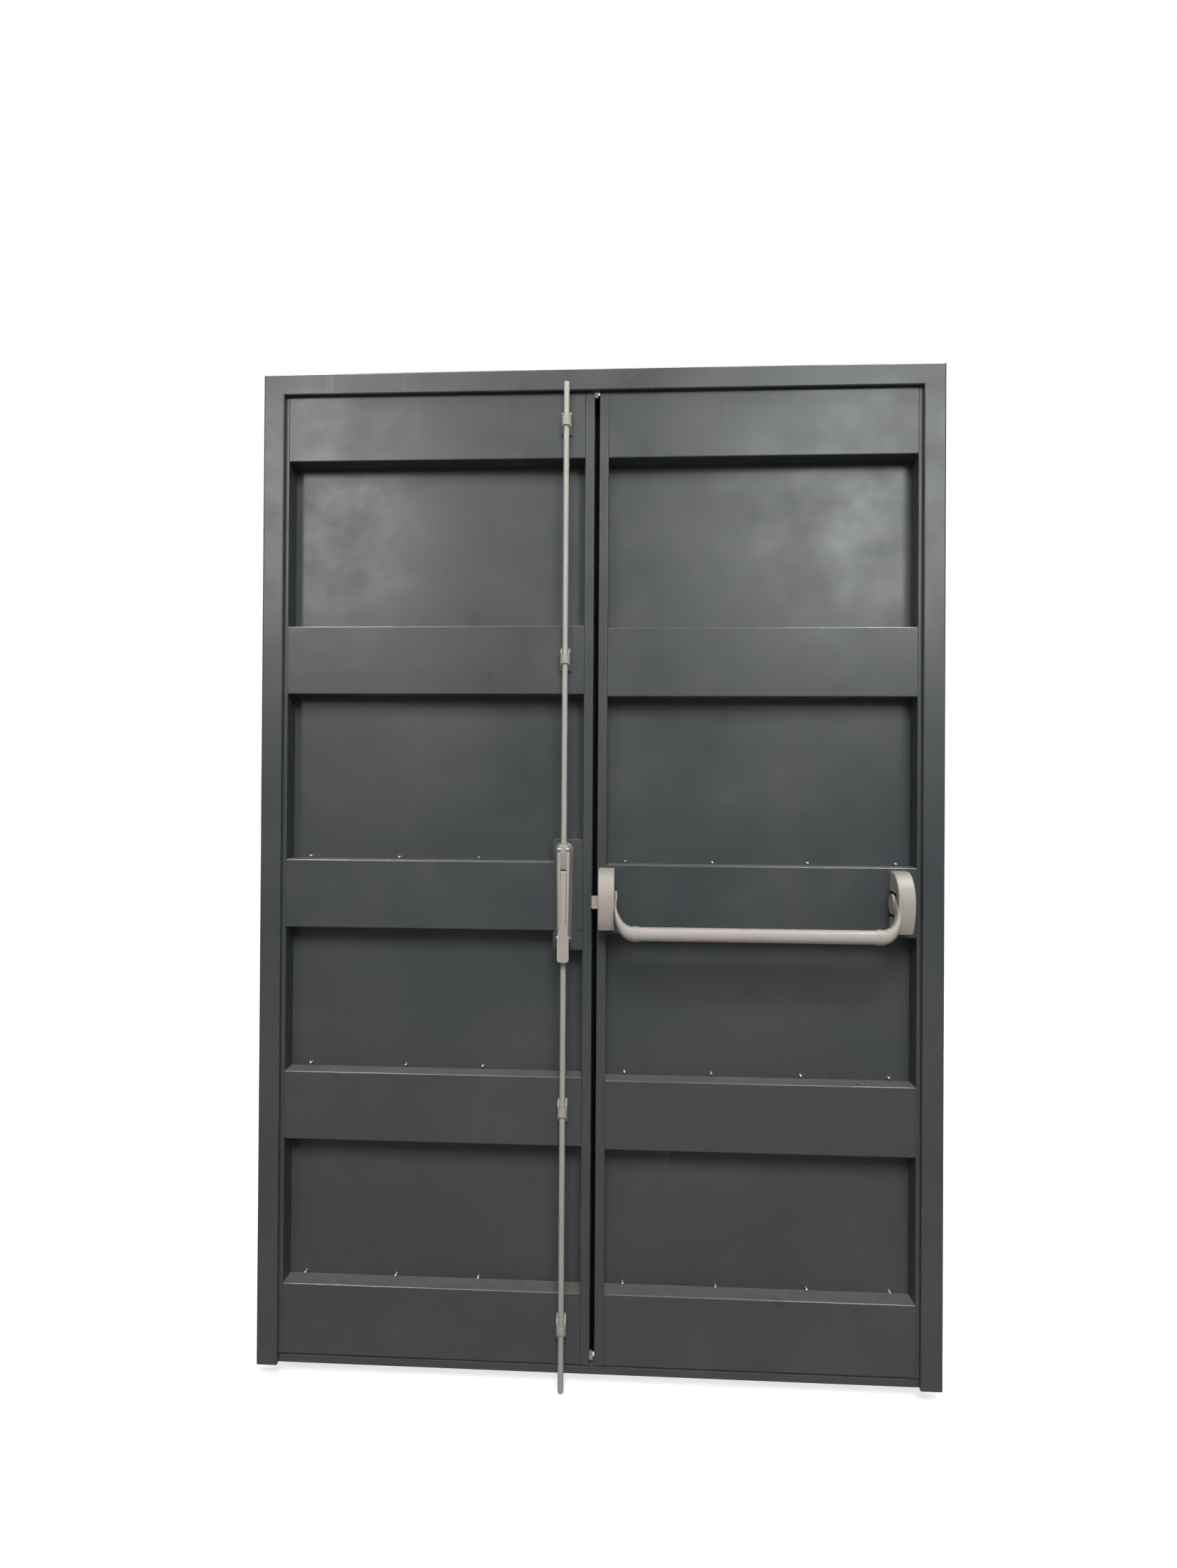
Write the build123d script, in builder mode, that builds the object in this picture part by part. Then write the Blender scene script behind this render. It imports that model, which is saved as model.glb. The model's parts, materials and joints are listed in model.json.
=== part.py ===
from build123d import *
from math import radians, tan
import os

# A steel double fire exit door: a pressed frame, two leaves with folded rails behind
# a flat skin, a lever bolt with two rods on the left leaf and a push bar on the right.
# X runs across the door, +Y points outside and +Z up, in millimetres.
# The origin is under the middle of the sill, and the inside face looks towards -Y.

# Frame
frame_width = 1420.0
frame_height = 2095.0
frame_depth = 70.0
frame_sheet = 2.0
frame_fold = 3.0
inside_face = 44.0
outside_face = 27.0
stop_depth = 12.0
wall_lip = 12.0
sill_height = 15.0
sill_flat = 18.0
sill_nose = 10.0

# Leaves
leaf_sheet = 1.5
leaf_fold = 2.5
seal_gap = 2.0
edge_gap = 3.5
meeting_gap = 10.0
meeting_x = -2.5
hinge_stile_width = 21.5
lock_stile_width = 20.0
stile_foot = 12.0
rail_foot = 12.0
rail_height = 144.0
top_rail_height = 152.0
bottom_rail_height = 148.5
lock_rail_centre = 994.0
right_rail_drop = 5.0

# Hinges on the outside face
hinge_height = 100.0
hinge_inset = 220.0
hinge_plate = 3.0
hinge_plate_width = 19.0
hinge_barrel = 14.0
hinge_barrel_offset = 7.5
hinge_notch_gap = 1.25
hinge_pin = 8.0
hinge_pin_reach = 40.0
hinge_bearing_gap = 0.3
pin_clearance = 0.05

# Cover strip and gap blocks
strip_sheet = 2.0
strip_fixed_width = 26.0
strip_lap = 18.0
strip_joggle = 1.0
block_width = 7.0
block_depth = 12.0
block_inset = 1.0
top_block_height = 8.0
top_block_drop = 24.5
bottom_block_height = 14.0
bottom_block_rise = 11.5

# Lever bolt on the left leaf
bolt_x = -66.0
rod_diameter = 12.0
rod_standoff = 22.0
rod_clearance = 0.3
top_rod_drop = 30.0
bottom_rod_end = -30.0
top_rod_round = 1.5
bottom_rod_round = 5.0
case_bottom = 897.0
case_top = 1109.0
case_width = 37.0
case_foot_width = 31.0
case_foot_corner = 8.0
case_depth = 40.0
case_draft = 8.0
case_wall = 2.5
case_edge_radius = 2.5
rod_case_entry = 18.0
slot_top = 1087.0
slot_clearance = 0.7
ramp_depth = 11.0
ramp_bottom = 1052.0
ramp_rise = 8.0
infill_width = 61.5
infill_rise = 46.0
infill_drop = 39.0
lever_width = 11.0
lever_paddle_width = 24.0
lever_paddle_end = 863.0
lever_flare_start = 946.0
lever_flare_end = 905.0
lever_hub = 11.0
lever_pivot_z = 1044.5
lever_pivot_depth = 34.5
lever_pin = 5.0
lever_thickness = 6.0
lever_case_gap = 1.5

# Rod guides
guide_width = 20.0
guide_height = 46.0
guide_bridge = 18.0
guide_foot = 9.0
guide_offsets = {"top": -5.5, "upper": -1.0, "lower": 5.5, "bottom": 10.0}
spaced_guides = ("top", "upper")
spacer_sheet = 3.5
spacer_width = 24.5
spacer_height = 50.0

# Push bar on the right leaf
housing_edge_gap = 3.0
housing_end_gap = 21.0
housing_width = 33.5
housing_bottom = 931.0
housing_top = 1055.0
housing_brow_flat = 14.0
housing_brow_radius = 60.0
housing_brow_turn = 90.0
housing_foot_depth = 53.0
housing_wall = 2.5
housing_edge_radius = 3.0
pocket_width = 8.5
pocket_bottom = 973.0
pocket_top = 1001.0
pocket_depth = 1.5
pivot_depth = 31.0
pivot_z = 990.0
pivot_pin = 8.0
pivot_pin_reach = 4.0
notch_bottom = 961.5
notch_top = 1016.0
notch_slant = 4.0
notch_reach = 22.0
arm_gap = 0.5
arm_thickness = 4.4
arm_disc_thickness = 5.0
arm_boss = 24.0
arm_boss_reach = 8.0
arm_root_height = 34.0
arm_middle_height = 28.0
arm_root_disc = 40.0
elbow_reach = 35.0
bar_depth = 95.0
bar_z = 930.0
bar_diameter = 28.0
bar_wall = 1.5
sleeve_diameter = 31.0
sleeve_length = 12.0
sleeve_seat = 0.1

# Stations along the arm: the shares of the way from the pivot to the bar in X, Y and Z, and how
# far the blade has swollen from its root's thickness to the sleeve's
arm_stations = [
    (0.0, 0.0, 0.0, 0.0),
    (0.0, 0.24, 0.075, 0.0),
    (0.005, 0.47, 0.185, 0.01),
    (0.035, 0.69, 0.34, 0.09),
    (0.125, 0.86, 0.52, 0.27),
    (0.27, 0.955, 0.70, 0.46),
    (0.46, 0.99, 0.845, 0.68),
    (0.72, 1.0, 0.955, 0.87),
    (1.0, 1.0, 1.0, 1.0),
]

# Latch
latch_centre_z = 984.0
latch_height = 26.0
latch_thickness = 14.0
latch_back_gap = 4.0
latch_reach = 13.5
latch_length = 26.0
latch_clearance = 0.4
latch_bevel = 8.0
latch_window = (4.0, 13.0, 1.5)

inside_y = -frame_depth / 2
outside_y = frame_depth / 2
leaf_y = inside_y + stop_depth + seal_gap
skin_y = outside_y - leaf_sheet
leaf_bottom = sill_height + edge_gap
leaf_top = frame_height - outside_face - edge_gap
opening_half = frame_width / 2 - outside_face
hinge_edge = opening_half - edge_gap
rod_y = leaf_y - rod_standoff
rod_radius = rod_diameter / 2
rod_bore = rod_radius + rod_clearance
hinge_x = opening_half - edge_gap / 2
hinge_y = outside_y + hinge_barrel_offset
plate_notch = hinge_barrel / 2 + hinge_notch_gap
tab_overlap = edge_gap / 4
case_front_y = leaf_y - case_depth
pivot_y = leaf_y - pivot_depth
bar_y = leaf_y - bar_depth
latch_y = leaf_y - latch_back_gap - latch_thickness / 2
left_housing_x = meeting_x + meeting_gap / 2 + housing_edge_gap
left_housing_inner = left_housing_x + housing_width
right_housing_x = hinge_edge - hinge_stile_width - housing_end_gap
bar_middle = (left_housing_x + right_housing_x) / 2
middle_plane = Plane.YZ.offset(bar_middle)
arm_x = left_housing_inner + arm_gap + arm_disc_thickness / 2
boss_x = left_housing_inner - arm_boss_reach + arm_gap
sleeve_x = arm_x + elbow_reach
LEFT, RIGHT = -1, 1


def lock_edge(side):
    """X of a leaf's edge at the meeting gap."""
    return meeting_x + side * meeting_gap / 2


def folded_section(points, fold, sheet, side):
    """Cross-section of a pressed sheet: an open line with rounded folds, thickened to one side."""
    with BuildSketch() as section:
        with BuildLine():
            line = FilletPolyline(*points, radius=fold)
            offset(line, amount=sheet, side=side)
        make_face()
    return section.sketch


def frame_points():
    """The frame section as distances from the wall and places in Y."""
    return [
        (0, inside_y + wall_lip),
        (0, inside_y),
        (inside_face, inside_y),
        (inside_face, inside_y + stop_depth),
        (outside_face, inside_y + stop_depth),
        (outside_face, outside_y),
        (0, outside_y),
        (0, outside_y - wall_lip),
    ]


def mitre_plane(side):
    """The plane of a welded corner, facing up and towards the middle of the head."""
    return Plane(origin=(side * frame_width / 2, 0, frame_height), z_dir=(-side, 0, 1))


def make_jamb(side):
    points = [(side * (frame_width / 2 - d), y) for d, y in frame_points()]
    inner = Side.LEFT if side == LEFT else Side.RIGHT
    with BuildPart() as jamb:
        with BuildSketch(Plane.XY):
            add(folded_section(points, frame_fold, frame_sheet, inner))
        extrude(amount=frame_height)
        split(bisect_by=mitre_plane(side), keep=Keep.BOTTOM)
    return jamb.part


def make_head():
    points = [(y, frame_height - d) for d, y in frame_points()]
    start = Plane.YZ.offset(-frame_width / 2)
    with BuildPart() as head:
        with BuildSketch(start):
            add(folded_section(points, frame_fold, frame_sheet, Side.LEFT))
        extrude(amount=frame_width)
        split(bisect_by=mitre_plane(LEFT), keep=Keep.TOP)
        split(bisect_by=mitre_plane(RIGHT), keep=Keep.TOP)
    return head.part


def make_sill():
    """A hollow folded sill between the jambs, with its top sloping to the outside."""
    front_y = inside_y + stop_depth + frame_fold
    with BuildPart() as sill:
        with BuildSketch(Plane.YZ.offset(-opening_half)):
            with BuildLine():
                Polyline(
                    (front_y, 0),
                    (outside_y, 0),
                    (outside_y, sill_nose),
                    (front_y + sill_flat, sill_height),
                    (front_y, sill_height),
                    close=True,
                )
            make_face()
            offset(amount=-frame_sheet, mode=Mode.SUBTRACT)
        extrude(amount=2 * opening_half)
    return sill.part


def make_skin(side):
    """The flat outside sheet of a leaf."""
    edges = sorted((side * hinge_edge, lock_edge(side)))
    width = edges[1] - edges[0]
    with BuildPart() as skin:
        with BuildSketch(Plane.XY.offset(leaf_bottom)):
            with Locations((edges[0] + width / 2, outside_y - leaf_sheet / 2)):
                Rectangle(width, leaf_sheet)
        extrude(amount=leaf_top - leaf_bottom)
    return skin.part


def make_stile(edge_x, inward, width):
    """A boxed upright: a lip flush with the rails, the leaf's edge and a foot on the skin."""
    inner_x = edge_x + inward * width
    points = [
        (edge_x + inward * stile_foot, skin_y),
        (edge_x, skin_y),
        (edge_x, leaf_y),
        (inner_x, leaf_y),
        (inner_x, skin_y),
    ]
    inner = Side.LEFT if inward > 0 else Side.RIGHT
    with BuildPart() as stile:
        with BuildSketch(Plane.XY.offset(leaf_bottom)):
            add(folded_section(points, leaf_fold, leaf_sheet, inner))
        extrude(amount=leaf_top - leaf_bottom)
    return stile.part


def stile_inner_edges(side):
    """X of the two stile walls that a leaf's rails run between, lowest first."""
    hinge_wall = side * (hinge_edge - hinge_stile_width)
    lock_wall = lock_edge(side) + side * lock_stile_width
    return sorted((hinge_wall, lock_wall))


def make_rail(side, bottom, top):
    """A folded channel across a leaf, with its two feet turned in against the skin."""
    start, end = stile_inner_edges(side)
    points = [
        (skin_y, bottom + rail_foot),
        (skin_y, bottom),
        (leaf_y, bottom),
        (leaf_y, top),
        (skin_y, top),
        (skin_y, top - rail_foot),
    ]
    with BuildPart() as rail:
        with BuildSketch(Plane.YZ.offset(start)):
            add(folded_section(points, leaf_fold, leaf_sheet, Side.RIGHT))
        extrude(amount=end - start)
    return rail.part


def rail_spans(side):
    """Bottom and top of each rail of a leaf: the upper and lower ones lie midway in their bays."""
    drop = right_rail_drop if side == RIGHT else 0
    half = rail_height / 2
    top_rail = (leaf_top - top_rail_height, leaf_top)
    bottom_rail = (leaf_bottom, leaf_bottom + bottom_rail_height)
    middles = {
        "upper": (lock_rail_centre + half + top_rail[0]) / 2 - drop,
        "lock": lock_rail_centre - drop,
        "lower": (bottom_rail[1] + lock_rail_centre - half) / 2 - drop,
    }
    spans = {name: (middle - half, middle + half) for name, middle in middles.items()}
    return {"top": top_rail, **spans, "bottom": bottom_rail}


def hinge_centres():
    lowest = leaf_bottom + hinge_inset
    highest = leaf_top - hinge_inset
    return (lowest, (lowest + highest) / 2, highest)


def hinge_plate_points(side, outward, centre, tab_up):
    """A hinge plate with a tab that reaches its own barrel and a notch beside the other one."""
    reach = side * outward
    far_x = side * hinge_x + reach * (plate_notch + hinge_plate_width)
    notch_x = side * hinge_x + reach * plate_notch
    tab_x = side * hinge_x + reach * tab_overlap
    own_end = centre + tab_up * hinge_height / 2
    other_end = centre - tab_up * hinge_height / 2
    tab_end = centre + tab_up * hinge_bearing_gap
    return [
        (far_x, own_end),
        (far_x, other_end),
        (notch_x, other_end),
        (notch_x, tab_end),
        (tab_x, tab_end),
        (tab_x, own_end),
    ]


def make_hinge_halves(side, on_leaf):
    """Three lift-off hinge halves: the frame's carry the pins, the leaf's drop over them."""
    tab_up = 1 if on_leaf else -1
    outward = -1 if on_leaf else 1
    barrel_length = hinge_height / 2 - hinge_bearing_gap
    with BuildPart() as halves:
        for centre in hinge_centres():
            with BuildSketch(Plane.XZ.offset(-outside_y)):
                with BuildLine():
                    Polyline(*hinge_plate_points(side, outward, centre, tab_up), close=True)
                make_face()
            extrude(amount=-hinge_plate)
            barrel_start = centre + hinge_bearing_gap if on_leaf else centre - hinge_height / 2
            with BuildSketch(Plane.XY.offset(barrel_start)):
                with Locations((side * hinge_x, hinge_y)):
                    Circle(hinge_barrel / 2)
            extrude(amount=barrel_length)
            if on_leaf:
                with BuildSketch(Plane.XY.offset(barrel_start)):
                    with Locations((side * hinge_x, hinge_y)):
                        Circle(hinge_pin / 2 + pin_clearance)
                extrude(amount=hinge_pin_reach + hinge_bearing_gap, mode=Mode.SUBTRACT)
            else:
                with BuildSketch(Plane.XY.offset(centre - hinge_height / 2)):
                    with Locations((side * hinge_x, hinge_y)):
                        Circle(hinge_pin / 2)
                extrude(amount=hinge_height / 2 + hinge_pin_reach)
    return halves.part


def make_cover_strip():
    """The joggled strip on the right leaf's outside that laps over the left leaf."""
    right_edge = lock_edge(RIGHT)
    lap_y = outside_y + strip_joggle
    with BuildPart() as strip:
        with BuildSketch(Plane.XY.offset(leaf_bottom)):
            with BuildLine():
                line = Polyline(
                    (right_edge + strip_fixed_width, outside_y),
                    (right_edge + strip_sheet, outside_y),
                    (right_edge, lap_y),
                    (lock_edge(LEFT) - strip_lap, lap_y),
                )
                offset(line, amount=strip_sheet, side=Side.RIGHT)
            make_face()
        extrude(amount=leaf_top - leaf_bottom)
    return strip.part


def make_gap_blocks():
    """Two small spacer blocks on the left leaf's meeting edge."""
    with BuildPart() as blocks:
        for base, height in (
            (leaf_bottom + bottom_block_rise, bottom_block_height),
            (leaf_top - top_block_drop, top_block_height),
        ):
            with BuildSketch(Plane.XY.offset(base)):
                with Locations((lock_edge(LEFT), leaf_y + block_inset)):
                    Rectangle(block_width, block_depth, align=Align.MIN)
            extrude(amount=height)
    return blocks.part


def make_bolt_infills():
    """Two folded boxes, above and below the lock rail, that carry the bolt case's ends."""
    inner_x = lock_edge(LEFT) - lock_stile_width
    rail_bottom, rail_top = rail_spans(LEFT)["lock"]
    depth = skin_y - leaf_y
    with BuildPart() as infills:
        for base, height, wall_z in (
            (rail_top, infill_rise, rail_top),
            (rail_bottom - infill_drop, infill_drop, rail_bottom - infill_drop + leaf_sheet),
        ):
            with BuildSketch(Plane.XY.offset(base)):
                with Locations((inner_x - infill_width, leaf_y)):
                    Rectangle(infill_width, depth, align=Align.MIN)
            extrude(amount=height)
            with BuildSketch(Plane.XY.offset(wall_z)):
                with Locations((inner_x - infill_width + leaf_sheet, leaf_y + leaf_sheet)):
                    Rectangle(infill_width, depth, align=Align.MIN)
            extrude(amount=height - leaf_sheet, mode=Mode.SUBTRACT)
    return infills.part


def case_outline():
    """The bolt case's outline: a round top and slightly narrower rounded foot."""
    top_radius = case_width / 2
    with BuildSketch() as outline:
        with BuildLine():
            left = Line(
                (bolt_x - case_foot_width / 2, case_bottom),
                (bolt_x - top_radius, case_top - top_radius),
            )
            ThreePointArc(left @ 1, (bolt_x, case_top), (bolt_x + top_radius, case_top - top_radius))
            Line(
                (bolt_x + top_radius, case_top - top_radius),
                (bolt_x + case_foot_width / 2, case_bottom),
            )
            Line((bolt_x + case_foot_width / 2, case_bottom), left @ 0)
        make_face()
        fillet(outline.vertices().group_by(Axis.Y)[0], radius=case_foot_corner)
    return outline.sketch


def make_bolt_case():
    """The hollow case: drafted sides, round front edges, a long front slot for the lever with a
    ramp above it, and holes for the rods."""
    lever_y = leaf_y - lever_pivot_depth
    slot_width = lever_width + 2 * slot_clearance
    with BuildPart() as case:
        with BuildSketch(Plane.XZ.offset(-leaf_y)):
            add(case_outline())
        extrude(amount=case_depth, taper=case_draft)
        fillet(case.faces().sort_by(Axis.Y)[0].edges(), radius=case_edge_radius)
        with BuildSketch(Plane.XZ.offset(-leaf_y)):
            add(case_outline())
            offset(amount=-case_wall)
        extrude(amount=case_depth - case_wall, taper=case_draft, mode=Mode.SUBTRACT)
        with BuildSketch(Plane.XY.offset(case_bottom - case_wall)):
            with Locations((bolt_x, rod_y)):
                Circle(rod_bore)
        extrude(amount=case_top - case_bottom + 2 * case_wall, mode=Mode.SUBTRACT)
        with BuildSketch(Plane.XZ.offset(-rod_y)):
            with Locations((bolt_x, case_bottom - case_wall)):
                Rectangle(slot_width, slot_top - case_bottom + case_wall, align=(Align.CENTER, Align.MIN))
        extrude(amount=case_depth, mode=Mode.SUBTRACT)
        with BuildSketch(Plane.YZ.offset(bolt_x - slot_width / 2 - case_wall)):
            with BuildLine():
                Polyline(
                    (case_front_y, slot_top),
                    (case_front_y + ramp_depth, ramp_bottom),
                    (case_front_y + ramp_depth, ramp_bottom + ramp_rise),
                    (case_front_y, slot_top + ramp_rise),
                    close=True,
                )
            make_face()
        extrude(amount=slot_width + 2 * case_wall)
        half_width = case_width / 2 - lever_pivot_depth * tan(radians(case_draft))
        with BuildSketch(Plane.YZ.offset(bolt_x - half_width + case_wall / 2)):
            with Locations((lever_y, lever_pivot_z)):
                Circle(lever_pin / 2)
        extrude(amount=2 * half_width - case_wall)
    return case.part


def make_bolt_lever():
    """The lever: a hub on its pin, a slim shank in the slot and a flared paddle."""
    lever_y = leaf_y - lever_pivot_depth
    hub_radius = lever_hub / 2
    paddle_back = case_front_y - lever_case_gap
    paddle_front = paddle_back - lever_thickness
    half_shank = lever_width / 2
    half_paddle = lever_paddle_width / 2
    with BuildPart() as lever:
        with BuildSketch(Plane.YZ.offset(bolt_x - half_paddle)):
            with BuildLine():
                Polyline(
                    (lever_y + hub_radius, lever_pivot_z),
                    (paddle_back, lever_flare_start),
                    (paddle_back, lever_paddle_end),
                    (paddle_front, lever_paddle_end),
                    (paddle_front, lever_flare_start),
                    (lever_y - hub_radius, lever_pivot_z),
                    close=True,
                )
            make_face()
            with Locations((lever_y, lever_pivot_z)):
                Circle(hub_radius)
                Circle(lever_pin / 2 + pin_clearance, mode=Mode.SUBTRACT)
        extrude(amount=lever_paddle_width)
        with BuildSketch(Plane.XZ.offset(-leaf_y)) as front:
            with BuildLine():
                shank_top = lever_pivot_z + hub_radius
                right = Polyline(
                    (bolt_x, shank_top),
                    (bolt_x + half_shank, shank_top),
                    (bolt_x + half_shank, lever_flare_start),
                )
                flare = Bezier(
                    right @ 1,
                    (bolt_x + half_shank, (lever_flare_start + lever_flare_end) / 2),
                    (bolt_x + half_paddle, (lever_flare_start + lever_flare_end) / 2),
                    (bolt_x + half_paddle, lever_flare_end),
                )
                Polyline(
                    flare @ 1,
                    (bolt_x + half_paddle, lever_paddle_end),
                    (bolt_x, lever_paddle_end),
                )
                mirror(about=Plane.YZ.offset(bolt_x))
            make_face()
            fillet(front.vertices().group_by(Axis.Y)[0], radius=half_paddle / 2)
        extrude(amount=case_depth * 2, mode=Mode.INTERSECT)
    return lever.part


def make_rod(low, high):
    """A straight rod with its free end rounded over."""
    with BuildPart() as rod:
        with BuildSketch(Plane.XY.offset(low)):
            with Locations((bolt_x, rod_y)):
                Circle(rod_radius)
        extrude(amount=high - low)
        ends = rod.edges().sort_by(Axis.Z)
        if low < leaf_bottom:
            fillet(ends[0], radius=bottom_rod_round)
        else:
            fillet(ends[-1], radius=top_rod_round)
    return rod.part


def guide_centre(name):
    bottom, top = rail_spans(LEFT)[name]
    return (bottom + top) / 2 + guide_offsets[name]


def make_guide_spacers():
    """The thin plates that stand the top and upper guides off their rails."""
    with BuildPart() as spacers:
        with BuildSketch(Plane.XZ.offset(-leaf_y)):
            for name in spaced_guides:
                with Locations((bolt_x, guide_centre(name))):
                    Rectangle(spacer_width, spacer_height)
        extrude(amount=spacer_sheet)
    return spacers.part


def make_rod_guide(name):
    """A guide block: a long foot that slopes up to a short bridge over the rod."""
    centre = guide_centre(name)
    foot_y = leaf_y - spacer_sheet if name in spaced_guides else leaf_y
    half_width = guide_width / 2
    crown_y = rod_y - half_width
    low_end = centre - guide_height / 2
    high_end = centre + guide_height / 2
    with BuildPart() as guide:
        with BuildSketch(Plane.XY.offset(low_end)):
            with BuildLine():
                Polyline(
                    (bolt_x - half_width, rod_y),
                    (bolt_x - half_width, foot_y),
                    (bolt_x + half_width, foot_y),
                    (bolt_x + half_width, rod_y),
                )
                ThreePointArc(
                    (bolt_x + half_width, rod_y),
                    (bolt_x, crown_y),
                    (bolt_x - half_width, rod_y),
                )
            make_face()
            with Locations((bolt_x, rod_y)):
                Circle(rod_bore, mode=Mode.SUBTRACT)
        extrude(amount=guide_height)
        for base in (low_end, centre + guide_bridge / 2):
            with BuildSketch(Plane.XY.offset(base)):
                with Locations((bolt_x, rod_y)):
                    Rectangle(2 * rod_bore, guide_width, align=(Align.CENTER, Align.MAX))
            extrude(amount=(guide_height - guide_bridge) / 2, mode=Mode.SUBTRACT)
        with BuildSketch(Plane.YZ.offset(bolt_x - half_width)):
            with BuildLine():
                Polyline(
                    (foot_y, low_end),
                    (leaf_y - guide_foot, low_end),
                    (crown_y, centre - guide_bridge / 2),
                    (crown_y, centre + guide_bridge / 2),
                    (leaf_y - guide_foot, high_end),
                    (foot_y, high_end),
                    close=True,
                )
            make_face()
        extrude(amount=guide_width, mode=Mode.INTERSECT)
    return guide.part


def housing_outline():
    """Side view of a housing: a flat top, a round brow and a front that bows back to its foot."""
    with BuildSketch() as outline:
        with BuildLine():
            top = Line((leaf_y, housing_top), (leaf_y - housing_brow_flat, housing_top))
            brow = JernArc(top @ 1, (-1, 0), housing_brow_radius, housing_brow_turn)
            foot = (leaf_y - housing_foot_depth, housing_bottom)
            front = TangentArc(brow @ 1, foot, tangent=brow % 1)
            Polyline(front @ 1, (leaf_y, housing_bottom), top @ 0)
        make_face()
    return outline.sketch


def make_housing(with_latch):
    """The left housing: a bowed hollow cover with a shallow pocket in its front, a notch for the
    arm's boss and the pin that the arm turns on."""
    notch_front = pivot_y - notch_reach
    with BuildPart() as housing:
        with BuildSketch(Plane.YZ.offset(left_housing_x)):
            add(housing_outline())
        extrude(amount=housing_width)
        sides = housing.faces().filter_by(Axis.X)
        fillet(sides.edges().filter_by(GeomType.CIRCLE), radius=housing_edge_radius)
        back = housing.faces().sort_by(Axis.Y)[-1]
        offset(amount=-housing_wall, openings=back)
        with BuildSketch(Plane.YZ.offset(left_housing_inner - pocket_width)):
            add(housing_outline())
            offset(amount=-pocket_depth, mode=Mode.SUBTRACT)
            with Locations((leaf_y - housing_foot_depth, pocket_bottom)):
                Rectangle(
                    housing_foot_depth,
                    pocket_top - pocket_bottom,
                    align=(Align.MAX, Align.MIN),
                    mode=Mode.INTERSECT,
                )
        extrude(amount=pocket_width, mode=Mode.SUBTRACT)
        with BuildSketch(Plane.YZ.offset(left_housing_inner - arm_boss_reach)):
            with BuildLine():
                Polyline(
                    (leaf_y, notch_bottom),
                    (notch_front, notch_bottom + notch_slant),
                    (notch_front, notch_top - notch_slant),
                    (leaf_y, notch_top),
                    close=True,
                )
            make_face()
        extrude(amount=arm_boss_reach, mode=Mode.SUBTRACT)
        with BuildSketch(Plane.YZ.offset(left_housing_x + housing_wall / 2)):
            with Locations((pivot_y, pivot_z)):
                Circle(pivot_pin / 2)
        extrude(amount=housing_width + pivot_pin_reach - housing_wall / 2)
        if with_latch:
            with BuildSketch(Plane.YZ.offset(left_housing_x)):
                with Locations((latch_y, latch_centre_z)):
                    Rectangle(latch_thickness + 2 * latch_clearance, latch_height + 2 * latch_clearance)
            extrude(amount=housing_wall + housing_edge_radius, mode=Mode.SUBTRACT)
    return housing.part


def make_latch():
    """The latch bolt: a block with a bevelled tip and a small window near the housing."""
    tip_x = lock_edge(RIGHT) - latch_reach
    window_width, window_height, window_depth = latch_window
    front_y = latch_y - latch_thickness / 2
    with BuildPart() as latch:
        with BuildSketch(Plane.XY.offset(latch_centre_z - latch_height / 2)):
            with BuildLine():
                Polyline(
                    (tip_x, latch_y + latch_thickness / 2),
                    (tip_x, front_y + latch_bevel),
                    (tip_x + latch_bevel / 2, front_y),
                    (tip_x + latch_length, front_y),
                    (tip_x + latch_length, latch_y + latch_thickness / 2),
                    close=True,
                )
            make_face()
        extrude(amount=latch_height)
        with BuildSketch(Plane.XZ.offset(-front_y)):
            with Locations((lock_edge(RIGHT) - window_width / 2, latch_centre_z)):
                Rectangle(window_width, window_height)
        extrude(amount=-window_depth, mode=Mode.SUBTRACT)
    return latch.part


def arm_sections():
    """Plane, half thickness and half height of the arm at each of its stations."""
    start = Vector(arm_x, pivot_y, pivot_z)
    reach = (elbow_reach, bar_y - pivot_y, bar_z - pivot_z)
    centres = [
        start + Vector(*(share * length for share, length in zip(station, reach)))
        for station in arm_stations
    ]
    headings = [after - before for before, after in zip(centres, centres[2:])]
    headings = [Vector(0, -1, 0), *headings, Vector(1, 0, 0)]
    for centre, heading, (*_, swell) in zip(centres, headings, arm_stations):
        across = Vector(-heading.Z, 0, heading.X) if heading.Z or heading.X else Vector(1, 0, 0)
        thickness = arm_thickness + swell * (sleeve_diameter - arm_thickness)
        slim = arm_middle_height + swell * (sleeve_diameter - arm_middle_height)
        height = slim if swell else arm_root_height
        yield Plane(origin=centre, x_dir=across, z_dir=heading), thickness / 2, height / 2


def make_arm():
    """The left arm: a thin oval blade beside the housing that swells into the round sleeve."""
    with BuildPart() as arm:
        for plane, half_thickness, half_height in arm_sections():
            with BuildSketch(plane):
                Ellipse(half_thickness, half_height)
        loft()
        with BuildSketch(Plane.YZ.offset(arm_x - arm_disc_thickness / 2)):
            with Locations((pivot_y, pivot_z)):
                Circle(arm_root_disc / 2)
        extrude(amount=arm_disc_thickness)
        with BuildSketch(Plane.YZ.offset(boss_x)):
            with Locations((pivot_y, pivot_z)):
                Circle(arm_boss / 2)
        extrude(amount=arm_x - boss_x)
        with BuildSketch(Plane.YZ.offset(sleeve_x)):
            with Locations((bar_y, bar_z)):
                Circle(sleeve_diameter / 2)
        extrude(amount=sleeve_length)
        with BuildSketch(Plane.YZ.offset(sleeve_x)):
            with Locations((bar_y, bar_z)):
                Circle(bar_diameter / 2 + sleeve_seat)
        extrude(amount=sleeve_length, mode=Mode.SUBTRACT)
        with BuildSketch(Plane.YZ.offset(boss_x)):
            with Locations((pivot_y, pivot_z)):
                Circle(pivot_pin / 2 + pin_clearance)
        extrude(amount=arm_boss_reach + pivot_pin_reach, mode=Mode.SUBTRACT)
    return arm.part


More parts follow.
